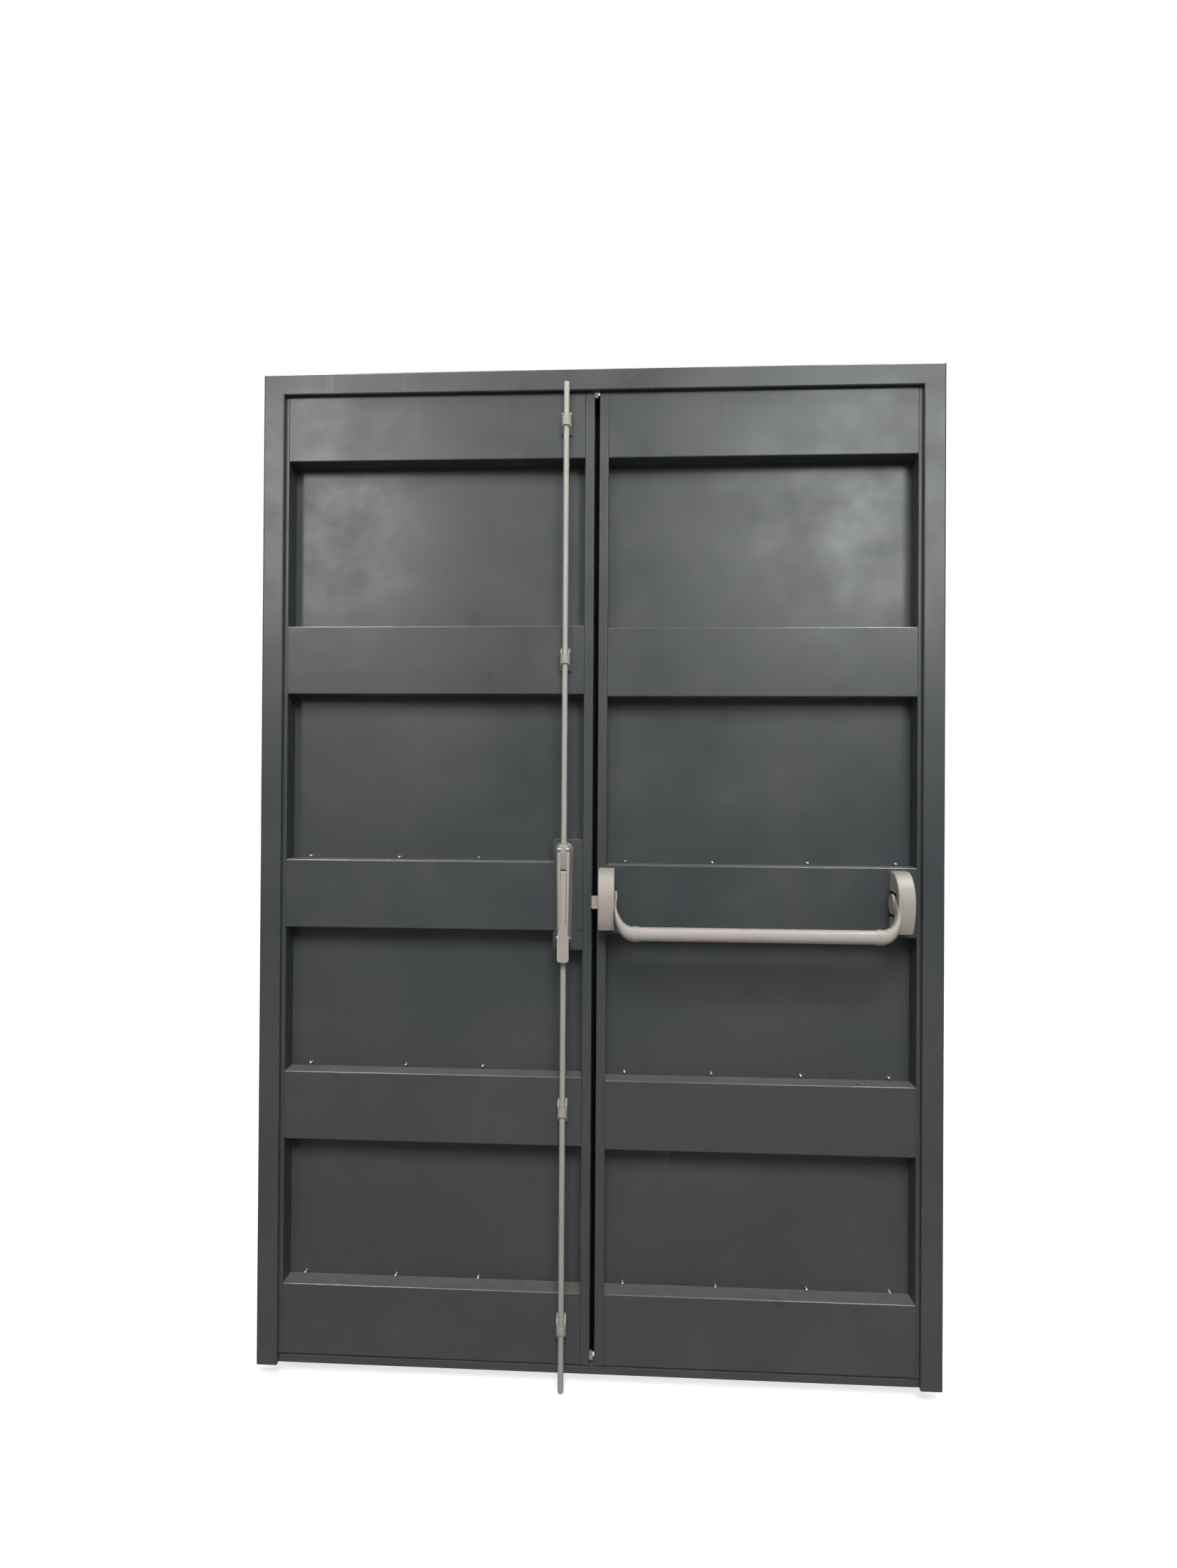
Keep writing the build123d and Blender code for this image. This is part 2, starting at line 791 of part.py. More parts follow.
def make_bar():
    start = sleeve_x + sleeve_seat
    with BuildPart() as bar:
        with BuildSketch(Plane.YZ.offset(start)):
            with Locations((bar_y, bar_z)):
                Circle(bar_diameter / 2)
                Circle(bar_diameter / 2 - bar_wall, mode=Mode.SUBTRACT)
        extrude(amount=2 * (bar_middle - start))
    return bar.part


def build_nodes():
    nodes = {
        "jamb_left": make_jamb(LEFT),
        "jamb_right": make_jamb(RIGHT),
        "head": make_head(),
        "sill": make_sill(),
    }
    for side, name in ((LEFT, "left"), (RIGHT, "right")):
        nodes[f"frame_hinges_{name}"] = make_hinge_halves(side, False)
        nodes[f"{name}_leaf_hinges"] = make_hinge_halves(side, True)
        nodes[f"{name}_skin"] = make_skin(side)
        nodes[f"{name}_hinge_stile"] = make_stile(side * hinge_edge, -side, hinge_stile_width)
        nodes[f"{name}_lock_stile"] = make_stile(lock_edge(side), side, lock_stile_width)
        for rail, (bottom, top) in rail_spans(side).items():
            nodes[f"{name}_{rail}_rail"] = make_rail(side, bottom, top)
    nodes["gap_blocks"] = make_gap_blocks()
    nodes["bolt_infills"] = make_bolt_infills()
    nodes["bolt_case"] = make_bolt_case()
    nodes["bolt_lever"] = make_bolt_lever()
    nodes["top_rod"] = make_rod(case_top - rod_case_entry, frame_height - top_rod_drop)
    nodes["bottom_rod"] = make_rod(bottom_rod_end, case_bottom + rod_case_entry)
    for name in guide_offsets:
        nodes[f"rod_guide_{name}"] = make_rod_guide(name)
    nodes["guide_spacers"] = make_guide_spacers()
    nodes["cover_strip"] = make_cover_strip()
    nodes["latch_housing"] = make_housing(True)
    nodes["pivot_housing"] = mirror(make_housing(False), about=middle_plane)
    nodes["latch_bolt"] = make_latch()
    nodes["push_arm_left"] = make_arm()
    nodes["push_arm_right"] = mirror(make_arm(), about=middle_plane)
    nodes["push_bar_tube"] = make_bar()
    return nodes


def write_parts():
    os.makedirs("parts", exist_ok=True)
    for name, part in build_nodes().items():
        part.label = name
        export_step(part, f"parts/{name}.step")


write_parts()
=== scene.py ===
"""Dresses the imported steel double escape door: finishes, fixings, seals and the stage round it."""

import json
import math
from typing import NamedTuple

import bmesh
import bpy
from mathutils import Matrix, Vector


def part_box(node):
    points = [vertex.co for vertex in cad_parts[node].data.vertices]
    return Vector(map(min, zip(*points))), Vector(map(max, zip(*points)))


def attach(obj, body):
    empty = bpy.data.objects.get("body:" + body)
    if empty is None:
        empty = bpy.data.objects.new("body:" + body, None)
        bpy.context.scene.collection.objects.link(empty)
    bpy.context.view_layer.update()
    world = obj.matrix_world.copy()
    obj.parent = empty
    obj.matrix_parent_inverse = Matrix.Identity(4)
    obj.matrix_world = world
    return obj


bl_info = {
    "name": "Double escape door",
    "version": (1, 0, 0),
    "blender": (4, 5, 0),
    "location": "3D View > Sidebar > Door",
    "description": "Paint, hardware and fixings of a steel double escape door",
    "category": "Object",
}

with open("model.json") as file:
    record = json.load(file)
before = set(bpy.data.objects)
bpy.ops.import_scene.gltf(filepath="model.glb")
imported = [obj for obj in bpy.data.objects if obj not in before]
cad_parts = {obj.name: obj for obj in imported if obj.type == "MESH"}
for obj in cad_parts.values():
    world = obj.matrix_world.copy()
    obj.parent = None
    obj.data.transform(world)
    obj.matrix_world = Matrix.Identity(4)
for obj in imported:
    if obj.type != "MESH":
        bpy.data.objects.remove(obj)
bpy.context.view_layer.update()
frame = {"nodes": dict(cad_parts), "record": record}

# The photo's camera, fitted to the door's edges. Focus and middle column are in the photo's pixels
PICTURE_WIDTH = 1661
PICTURE_HEIGHT = 2212
SENSOR = 36.0
CAMERA_FOCUS = 1515.0
CAMERA_MIDDLE = 770.0
CAMERA_PLACE = (0.0368, -2.2679, 1.2132)
CAMERA_TURN = (0.0635, 0.0074, -0.0060)
CAMERA_SIGHT = 60.0

FRAME_NODES = ("jamb_left", "jamb_right", "head", "sill")
LEAF_ENDINGS = ("_skin", "_stile", "_rail")
LEAF_EXTRAS = ("bolt_infills", "guide_spacers", "cover_strip")
LEAF_NODES = [
    name
    for body in ("left_leaf", "right_leaf")
    for name in frame["record"]["behaviour"]["bodies"][body]
    if name.endswith(LEAF_ENDINGS) or name in LEAF_EXTRAS
]
HINGE_ENDINGS = ("hinges_left", "hinges_right", "leaf_hinges")
HINGE_NODES = [name for name in frame["nodes"] if name.endswith(HINGE_ENDINGS)]
CASTING_NODES = ("bolt_case", "latch_housing", "pivot_housing", "push_arm_left", "push_arm_right")
GUIDE_NODES = [name for name in frame["nodes"] if name.startswith("rod_guide")]

# Height above the rail, then the places along X
LEDGE_PINS = {
    "left_lock_rail": (0.0047, (-0.617, -0.423, -0.252)),
    "left_lower_rail": (0.0080, (-0.614, -0.407, -0.240)),
    "left_bottom_rail": (0.0055, (-0.622, -0.425, -0.247)),
    "right_lock_rail": (0.0047, (0.062, 0.246, 0.444, 0.626)),
    "right_lower_rail": (0.0080, (0.062, 0.246, 0.432, 0.614)),
    "right_bottom_rail": (0.0055, (0.061, 0.257, 0.446, 0.618)),
}
PIN_LEAN = 0.05
PIN_TIP_SHARE = 0.45
PIN_WELD = 1e-5
RIVET_HEIGHT_SHARE = 0.38

# Each pair of case screws: how far from the case's middle line, and from its top or foot
TOP_SCREWS = (0.0084, 0.0165)
FOOT_SCREWS = (0.0112, 0.0140)
SCREW_SINK = 0.0012
SCREW_HEIGHT_SHARE = 0.6
RECESS_WIDTH_SHARE = 0.27
RECESS_REACH_SHARE = 1.1

HINGE_SHINE = 0.05
SAME_POINT = 1e-6
SHARP_ANGLE = math.radians(35)

# A Mix node's colour sockets share their names with its other sockets, so they go by number
MIX_COLOURS = (6, 7)
MIX_RESULT = 2

FLOOR_REACH = 30.0
FLOOR_TONE_SEEN = 0.8
FLOOR_TONE_UNSEEN = 0.3
FLOOR_GLOW = (("From Min", 1.0), ("From Max", 4.0), ("To Min", 0.5), ("To Max", 1.0))
WHITE = (1.0, 1.0, 1.0)
LAMP_AIM = (0.0, 0.0, 1.0)


class Lamp(NamedTuple):
    """An area lamp. Its power is a setting times a share, and one kind of ray can pass it by."""

    name: str
    place: tuple
    size: tuple
    setting: str
    passed_by: str = ""
    tint: tuple = WHITE
    share: float = 1.0


LAMPS = (
    Lamp(
        "key", (0.2, -4.2, 4.1), (2.2, 2.0), "key_power", "visible_glossy", tint=(1.0, 0.975, 0.965)
    ),
    Lamp("edge_-1", (-1.85, -0.6, 5.0), (2.6, 0.5), "edge_power", "visible_diffuse"),
    Lamp("edge_1", (1.85, -0.6, 5.0), (2.6, 0.5), "edge_power", "visible_diffuse"),
    Lamp(
        "sheen_left",
        (-2.06, -5.0, 3.2),
        (0.7, 1.4),
        "sheen_power",
        "visible_diffuse",
        tint=(1.0, 0.98, 0.95),
    ),
    Lamp(
        "sheen_right",
        (1.82, -5.0, 3.2),
        (1.55, 1.4),
        "sheen_power",
        "visible_diffuse",
        tint=(0.98, 1.0, 1.0),
        share=1.15,
    ),
    Lamp("back", (0.6, 3.2, 3.4), (2.4, 2.0), "back_power"),
)


def linear(red, green, blue):
    """A colour given in display values from 0 to 255, as the shader wants it."""
    parts = []
    for value in (red, green, blue):
        share = value / 255
        parts.append(share / 12.92 if share <= 0.04045 else ((share + 0.055) / 1.055) ** 2.4)
    return (*parts, 1.0)


# Materials


class Recipe:
    """Small helper that adds and joins the nodes of one material."""

    def __init__(self, name, metallic, specular):
        self.material = bpy.data.materials.new(name)
        self.material.use_nodes = True
        self.tree = self.material.node_tree
        self.shader = self.tree.nodes["Principled BSDF"]
        self.shader.inputs["Metallic"].default_value = metallic
        self.shader.inputs["Specular IOR Level"].default_value = specular
        self.place = self.tree.nodes.new("ShaderNodeTexCoord").outputs["Object"]

    def join(self, source, target):
        self.tree.links.new(source, target)

    def stretched(self, scale):
        """Object coordinates pulled longer or shorter along each axis."""
        node = self.tree.nodes.new("ShaderNodeMapping")
        node.inputs["Scale"].default_value = scale
        self.join(self.place, node.inputs["Vector"])
        return node.outputs["Vector"]

    def noise(self, scale, detail=2.0, roughness=0.5, distortion=0.0, place=None):
        node = self.tree.nodes.new("ShaderNodeTexNoise")
        node.inputs["Scale"].default_value = scale
        node.inputs["Detail"].default_value = detail
        node.inputs["Roughness"].default_value = roughness
        node.inputs["Distortion"].default_value = distortion
        self.join(place or self.place, node.inputs["Vector"])
        return node.outputs["Fac"]

    def spread(self, value, low, high, to_low=0.0, to_high=1.0):
        """Maps a value from one range to another and holds it inside."""
        node = self.tree.nodes.new("ShaderNodeMapRange")
        limits = {"From Min": low, "From Max": high, "To Min": to_low, "To Max": to_high}
        for name, number in limits.items():
            node.inputs[name].default_value = number
        self.join(value, node.inputs["Value"])
        return node.outputs["Result"]

    def times(self, first, second):
        node = self.tree.nodes.new("ShaderNodeMath")
        node.operation = "MULTIPLY"
        self.join(first, node.inputs[0])
        self.join(second, node.inputs[1])
        return node.outputs["Value"]

    def blend(self, share, *colours):
        """Mixes two colours, each a socket or four numbers."""
        node = self.tree.nodes.new("ShaderNodeMix")
        node.data_type = "RGBA"
        self.join(share, node.inputs["Factor"])
        for number, source in zip(MIX_COLOURS, colours):
            if isinstance(source, tuple):
                node.inputs[number].default_value = source
            else:
                self.join(source, node.inputs[number])
        return node.outputs[MIX_RESULT]

    def upwards(self, vector):
        """The Z share of a vector."""
        split = self.tree.nodes.new("ShaderNodeSeparateXYZ")
        self.join(vector, split.inputs["Vector"])
        return split.outputs["Z"]

    def facing_up(self, start, end):
        """How far a face looks upwards."""
        normal = self.tree.nodes.new("ShaderNodeNewGeometry").outputs["Normal"]
        return self.spread(self.upwards(normal), start, end)

    def up_high(self, start, end, to_low, to_high):
        """Changes with the height above the sill."""
        return self.spread(self.upwards(self.place), start, end, to_low, to_high)

    def bump(self, height, strength, distance, under=None):
        node = self.tree.nodes.new("ShaderNodeBump")
        node.inputs["Strength"].default_value = strength
        node.inputs["Distance"].default_value = distance
        self.join(height, node.inputs["Height"])
        if under:
            self.join(under, node.inputs["Normal"])
        return node.outputs["Normal"]

    def finish(self, colour, roughness, normal):
        self.join(colour, self.shader.inputs["Base Color"])
        self.join(roughness, self.shader.inputs["Roughness"])
        self.join(normal, self.shader.inputs["Normal"])


def powder_coat(name, base, light, dust_and_painted_light, ledge, gloss):
    """Dark powder coat: drifting tone, smudges, scuffs, orange peel, dust and painted top light on
    the ledges, and painted light towards the floor.
    """
    recipe = Recipe(name, metallic=0.0, specular=0.08)
    drift = recipe.spread(
        recipe.noise(scale=1.6, detail=3.0, roughness=0.55), low=0.35, high=0.68
    )
    smudge = recipe.spread(
        recipe.noise(scale=7.0, detail=5.0, roughness=0.6, distortion=0.8),
        low=0.5,
        high=0.8,
        to_high=0.13,
    )
    upright = recipe.stretched((1.0, 1.0, 0.08))
    streaks = recipe.noise(scale=22.0, detail=3.0, roughness=0.6, distortion=0.4, place=upright)
    scuffs = recipe.times(
        recipe.spread(streaks, low=0.66, high=0.74, to_high=0.5),
        recipe.spread(recipe.noise(scale=3.0), low=0.5, high=0.66),
    )
    # Dust and painted top light: up-facing faces are lightened, partly as settled dust, partly as
    # light from above would light them.
    ledge_dust_and_top_light = recipe.times(
        recipe.facing_up(start=0.5, end=0.9),
        recipe.spread(
            recipe.noise(scale=38.0, detail=4.0), low=0.2, high=0.7, to_low=0.55, to_high=0.9
        ),
    )
    colour = recipe.blend(drift, base, light)
    colour = recipe.blend(smudge, colour, dust_and_painted_light)
    colour = recipe.blend(scuffs, colour, dust_and_painted_light)
    # Painted light: near the floor the coat is blended towards the dust tone, lightening the lower
    # door as more light there would.
    colour = recipe.blend(
        recipe.up_high(start=0.1, end=1.0, to_low=0.17, to_high=0.0), colour, dust_and_painted_light
    )
    colour = recipe.blend(ledge_dust_and_top_light, colour, ledge)
    roughness = recipe.spread(
        recipe.noise(scale=7.0, detail=4.0, roughness=0.6),
        low=0.3,
        high=0.7,
        to_low=gloss - 0.06,
        to_high=gloss + 0.08,
    )
    peel = recipe.bump(recipe.noise(scale=620.0), strength=0.18, distance=0.0004)
    waves = recipe.bump(
        recipe.noise(scale=9.0, detail=1.0), strength=0.10, distance=0.002, under=peel
    )
    recipe.finish(colour, roughness, waves)


def silver_enamel(name, base, light, gloss):
    """Silver enamel on castings and tubes: fine flake, drift of tone, rub marks, faint grain."""
    recipe = Recipe(name, metallic=0.0, specular=0.05)
    flake = recipe.spread(recipe.noise(scale=1400.0, roughness=0.7), low=0.35, high=0.65)
    drift = recipe.spread(
        recipe.noise(scale=14.0, detail=3.0, roughness=0.55, distortion=0.3), low=0.35, high=0.7
    )
    stronger = recipe.spread(drift, low=0.0, high=1.0, to_low=0.1, to_high=0.45)
    rubbed = recipe.spread(
        recipe.noise(scale=60.0, detail=5.0, roughness=0.7), low=0.62, high=0.75, to_high=0.5
    )
    colour = recipe.blend(flake, base, light)
    colour = recipe.blend(recipe.times(drift, stronger), colour, base)
    colour = recipe.blend(rubbed, colour, light)
    roughness = recipe.spread(
        recipe.noise(scale=45.0, detail=4.0, roughness=0.6),
        low=0.3,
        high=0.7,
        to_low=gloss - 0.07,
        to_high=gloss + 0.09,
    )
    grain = recipe.bump(recipe.noise(scale=900.0), strength=0.12, distance=0.0003)
    cast = recipe.bump(recipe.noise(scale=55.0), strength=0.10, distance=0.0008, under=grain)
    recipe.finish(colour, roughness, cast)


def drawn_metal(name, base, light, stretch, gloss, metallic, specular=0.09):
    """Plated metal with drawing lines along its length, dull patches and small nicks."""
    recipe = Recipe(name, metallic, specular)
    along = recipe.stretched(stretch)
    lines = recipe.noise(scale=700.0, detail=3.0, roughness=0.6, place=along)
    dull = recipe.spread(
        recipe.noise(scale=26.0, detail=5.0, roughness=0.65, distortion=0.5), low=0.4, high=0.72
    )
    uneven = recipe.spread(lines, low=0.2, high=0.8, to_low=0.2, to_high=0.6)
    colour = recipe.blend(recipe.spread(lines, low=0.3, high=0.7), base, light)
    colour = recipe.blend(recipe.times(dull, uneven), colour, base)
    roughness = recipe.spread(dull, low=0.0, high=1.0, to_low=gloss - 0.05, to_high=gloss + 0.12)
    pits = recipe.spread(
        recipe.noise(scale=240.0, detail=4.0, roughness=0.7), low=0.66, high=0.8
    )
    nicks = recipe.bump(pits, strength=0.15, distance=0.0003)
    drawn = recipe.bump(lines, strength=0.08, distance=0.0002, under=nicks)
    recipe.finish(colour, roughness, drawn)


def moulded_rubber(name, base, light, specular):
    """Moulded rubber: matt, a little chalky, with a pitted surface."""
    recipe = Recipe(name, metallic=0.0, specular=specular)
    chalk = recipe.spread(
        recipe.noise(scale=180.0, detail=5.0, roughness=0.65), low=0.4, high=0.7
    )
    colour = recipe.blend(chalk, base, light)
    roughness = recipe.spread(chalk, low=0.0, high=1.0, to_low=0.62, to_high=0.8)
    pitted = recipe.bump(recipe.noise(scale=420.0, detail=3.0), strength=0.3, distance=0.0006)
    recipe.finish(colour, roughness, pitted)


def material(name):
    return bpy.data.materials[name]


def dress(names, finish):
    """Gives CAD nodes a finish by their material slots."""
    for name in names:
        slots = frame["nodes"][name].material_slots
        if not slots:
            frame["nodes"][name].data.materials.append(material(finish))
        for slot in slots:
            slot.material = material(finish)


# Geometry node trees


class Tree:
    """Small helper that adds and joins the nodes of one geometry tree."""

    def __init__(self, name, inputs):
        self.group = bpy.data.node_groups.new(name, "GeometryNodeTree")
        sockets = self.group.interface
        sockets.new_socket("Geometry", in_out="INPUT", socket_type="NodeSocketGeometry")
        self.names = {}
        for label, kind, value in inputs:
            socket = sockets.new_socket(label, in_out="INPUT", socket_type=kind)
            if value is not None:
                socket.default_value = value
            self.names[label] = socket.identifier
        sockets.new_socket("Geometry", in_out="OUTPUT", socket_type="NodeSocketGeometry")
        self.source = self.group.nodes.new("NodeGroupInput")
        self.sink = self.group.nodes.new("NodeGroupOutput")

    def join(self, source, target):
        self.group.links.new(source, target)

    def add(self, kind, settings=None, **sockets):
        """Adds a node. Settings are its own properties, and a socket takes a value or a socket.

        A socket goes by its name with _ for each space, or by _ and its number.
        """
        node = self.group.nodes.new(kind)
        for name, value in (settings or {}).items():
            setattr(node, name, value)
        for name, value in sockets.items():
            label = name.replace("_", " ")
            socket = node.inputs[label if label in node.inputs else int(name[1:])]
            if isinstance(value, bpy.types.NodeSocket):
                self.join(value, socket)
            else:
                socket.default_value = value
        return node

    def given(self, label):
        return self.source.outputs[label]

    def scaled(self, value, factor):
        node = self.add("ShaderNodeMath", {"operation": "MULTIPLY"}, _0=value, _1=factor)
        return node.outputs["Value"]

    def vector(self, **parts):
        return self.add("ShaderNodeCombineXYZ", **parts).outputs["Vector"]

    def cone(self, **sizes):
        return self.add("GeometryNodeMeshCone", {"fill_type": "NGON"}, **sizes).outputs["Mesh"]

    def moved(self, geometry, **places):
        node = self.add("GeometryNodeTransform", Geometry=geometry, **places)
        return node.outputs["Geometry"]

    def on_points(self, geometry, **turn):
        """The geometry on every point of the mesh that comes in."""
        points = self.add("GeometryNodeMeshToPoints", Mesh=self.given("Geometry"))
        node = self.add(
            "GeometryNodeInstanceOnPoints",
            Points=points.outputs["Points"],
            Instance=geometry,
            **turn,
        )
        return node.outputs["Instances"]

    def end(self, geometry):
        """Realizes the instances and sets the finish, which is what the tree gives out."""
        real = self.add("GeometryNodeRealizeInstances", Geometry=geometry)
        dressed = self.add(
            "GeometryNodeSetMaterial",
            Geometry=real.outputs["Geometry"],
            Material=self.given("Finish"),
        )
        self.join(dressed.outputs["Geometry"], self.sink.inputs["Geometry"])


def screw_tree():
    """A pan head with a domed top and a cross recess, on every point of the mesh that comes in."""
    tree = Tree(
        "pan_head_screws",
        (
            ("Head radius", "NodeSocketFloat", 0.0045),
            ("Head height", "NodeSocketFloat", 0.0028),
            ("Recess width", "NodeSocketFloat", 0.0012),
            ("Direction", "NodeSocketVector", (0.0, 0.0, 0.0)),
            ("Seed", "NodeSocketInt", 3),
            ("Finish", "NodeSocketMaterial", None),
        ),
    )
    radius, height, width = (
        tree.given(label) for label in ("Head radius", "Head height", "Recess width")
    )
    ball = tree.add("GeometryNodeMeshUVSphere", Segments=28, Rings=14, Radius=1.0).outputs["Mesh"]
    dome = tree.moved(ball, Scale=tree.vector(X=radius, Y=radius, Z=height))
    reach = tree.scaled(radius, RECESS_REACH_SHARE)
    cut = tree.add("GeometryNodeMeshBoolean", {"operation": "DIFFERENCE", "solver": "EXACT"})
    tree.join(dome, cut.inputs["Mesh 1"])
    for along, across in ((reach, width), (width, reach)):
        bar = tree.add("GeometryNodeMeshCube", Size=tree.vector(X=along, Y=across, Z=height))
        lifted = tree.moved(bar.outputs["Mesh"], Translation=tree.vector(Z=height))
        tree.join(lifted, cut.inputs["Mesh 2"])
    spin = tree.add(
        "FunctionNodeRandomValue", {"data_type": "FLOAT"}, _3=math.tau, Seed=tree.given("Seed")
    )
    heads = tree.on_points(cut.outputs["Mesh"], Rotation=tree.given("Direction"))
    spun = tree.add(
        "GeometryNodeRotateInstances", Instances=heads, Rotation=tree.vector(Z=spin.outputs[1])
    )
    tree.end(spun.outputs["Instances"])
    return tree


def pin_tree():
    """A short round pin with a chamfered tip, lying along Y, on every point that comes in."""
    tree = Tree(
        "ledge_pins",
        (
            ("Radius", "NodeSocketFloat", 0.002),
            ("Length", "NodeSocketFloat", 0.014),
            ("Tip", "NodeSocketFloat", 0.0012),
            ("Seed", "NodeSocketInt", 5),
            ("Finish", "NodeSocketMaterial", None),
        ),
    )
    radius, length, tip = (tree.given(label) for label in ("Radius", "Length", "Tip"))
    shank_length = tree.add(
        "ShaderNodeMath", {"operation": "SUBTRACT"}, _0=length, _1=tip
    ).outputs["Value"]
    shank = tree.cone(Vertices=16, Radius_Top=radius, Radius_Bottom=radius, Depth=shank_length)
    narrow = tree.scaled(radius, PIN_TIP_SHARE)
    end = tree.cone(Vertices=16, Radius_Top=narrow, Radius_Bottom=radius, Depth=tip)
    whole = tree.add("GeometryNodeJoinGeometry")
    tree.join(shank, whole.inputs["Geometry"])
    tree.join(
        tree.moved(end, Translation=tree.vector(Z=shank_length)), whole.inputs["Geometry"]
    )
    merged = tree.add(
        "GeometryNodeMergeByDistance", Geometry=whole.outputs["Geometry"], Distance=PIN_WELD
    )
    lean = tree.add(
        "FunctionNodeRandomValue",
        {"data_type": "FLOAT_VECTOR"},
        _0=(math.pi / 2 - PIN_LEAN, 0.0, -PIN_LEAN),
        _1=(math.pi / 2 + PIN_LEAN, 0.0, PIN_LEAN),
        Seed=tree.given("Seed"),
    )
    tree.end(tree.on_points(merged.outputs["Geometry"], Rotation=lean.outputs[0]))
    return tree


def rivet_tree():
    """A low domed rivet head facing Y on every point of the mesh that comes in."""
    tree = Tree(
        "skin_rivets",
        (
            ("Radius", "NodeSocketFloat", 0.0042),
            ("Height", "NodeSocketFloat", 0.0016),
            ("Finish", "NodeSocketMaterial", None),
        ),
    )
    radius = tree.given("Radius")
    ball = tree.add("GeometryNodeMeshUVSphere", Segments=24, Rings=12, Radius=1.0).outputs["Mesh"]
    size = tree.vector(X=radius, Y=tree.given("Height"), Z=radius)
    tree.end(tree.on_points(tree.moved(ball, Scale=size)))
    return tree


def strip_tree():
    """A soft oval strip along the lines of the mesh that comes in, with its flat side towards Y."""
    tree = Tree(
        "soft_strips",
        (
            ("Width", "NodeSocketFloat", 0.008),
            ("Thickness", "NodeSocketFloat", 0.002),
            ("Corner radius", "NodeSocketFloat", 0.012),
            ("Finish", "NodeSocketMaterial", None),
        ),
    )
    line = tree.add("GeometryNodeMeshToCurve", Mesh=tree.given("Geometry"))
    rounded = tree.add(
        "GeometryNodeFilletCurve",
        {"mode": "POLY"},
        Curve=line.outputs["Curve"],
        Radius=tree.given("Corner radius"),
        Count=6,
    )
    steady = tree.add(
        "GeometryNodeSetCurveNormal",
        {"mode": "FREE"},
        Curve=rounded.outputs["Curve"],
        Normal=(0.0, 1.0, 0.0),
    )
    ring = tree.add("GeometryNodeCurvePrimitiveCircle", Resolution=16, Radius=0.5)
    size = tree.vector(X=tree.given("Thickness"), Y=tree.given("Width"), Z=1.0)
    strip = tree.add(
        "GeometryNodeCurveToMesh",
        Curve=steady.outputs["Curve"],
        Profile_Curve=tree.moved(ring.outputs["Curve"], Scale=size),
        Fill_Caps=True,
    )
    tree.end(strip.outputs["Mesh"])
    return tree


def grown(name, tree, points, finish, lines=(), **sizes):
    """Runs a geometry tree on a few points or lines and keeps the result as a plain mesh."""
    seeds = bpy.data.meshes.new(name + "_points")
    seeds.from_pydata(points, lines, [])
    carrier = bpy.data.objects.new(name + "_points", seeds)
    bpy.context.scene.collection.objects.link(carrier)
    modifier = carrier.modifiers.new("tree", "NODES")
    modifier.node_group = tree.group
    modifier[tree.names["Finish"]] = material(finish)
    for label, value in sizes.items():
        modifier[tree.names[label.replace("_", " ")]] = value
    seen = carrier.evaluated_get(bpy.context.evaluated_depsgraph_get())
    mesh = bpy.data.meshes.new_from_object(seen)
    bpy.data.objects.remove(carrier)
    piece = bpy.data.objects.new(name, mesh)
    bpy.context.scene.collection.objects.link(piece)
    tidy_mesh(mesh, finish)
    return piece


def tidy_mesh(mesh, finish):
    """Merges doubles, turns the faces outwards, smooths them and sets the one finish."""
    shape = bmesh.new()
    shape.from_mesh(mesh)
    bmesh.ops.remove_doubles(shape, verts=shape.verts, dist=SAME_POINT)
    bmesh.ops.recalc_face_normals(shape, faces=shape.faces)
    shape.to_mesh(mesh)
    shape.free()
    mesh.materials.clear()
    mesh.materials.append(material(finish))
    mesh.shade_smooth()
    mesh.set_sharp_from_angle(angle=SHARP_ANGLE)


# Settings shown in the sidebar


def tone_setting(name, description, default):
    return bpy.props.FloatVectorProperty(
        name=name,
        description=description,
        subtype="COLOR",
        size=4,
        default=default,
        min=0.0,
        max=1.0,
    )


def share_setting(name, description, default, least=0.0):
    return bpy.props.FloatProperty(
        name=name, description=description, default=default, min=least, max=1.0, subtype="FACTOR"
    )


def size_setting(name, description, default, least=0.0, unit="LENGTH"):
    return bpy.props.FloatProperty(
        name=name, description=description, default=default, min=least, unit=unit
    )


def power_setting(name, description, default):
    return size_setting(name, description, default, unit="POWER")


class DoorPaintSettings(bpy.types.PropertyGroup):
    base: tone_setting("Paint", "Main tone of the powder coat", linear(58, 62, 64))
    light: tone_setting(
        "Lighter paint", "Tone that the powder coat drifts to", linear(66, 69, 70)
    )
    # The dust tone marks smudges and scuffs, and also serves as painted light that lightens the coat
    # towards the floor.
    dust_and_painted_light: tone_setting(
        "Dust", "Tone of smudges, scuffs and the dust towards the floor", linear(100, 99, 96)
    )
    # The ledge tone is dust and painted top light: it lightens the up-facing ledges as light from
    # above would.
    ledge: tone_setting(
        "Ledge dust", "Tone of the dust that settles on the ledges", linear(112, 111, 108)
    )
    gloss: share_setting("Roughness", "Middle roughness of the powder coat", 0.32, least=0.1)


class DoorFixingSettings(bpy.types.PropertyGroup):
    screw_radius: size_setting(
        "Screw head radius", "Radius of the pan heads on the bolt case", 0.0044, least=0.001
    )
    pin_length: size_setting(
        "Pin length", "How far a ledge pin stands out of the skin", 0.015, least=0.002
    )
    pin_radius: size_setting("Pin radius", "Radius of a ledge pin", 0.002, least=0.0005)
    rivet_radius: size_setting(
        "Rivet head radius",
        "Radius of the domed heads on the outside of the skin",
        0.0042,
        least=0.001,
    )


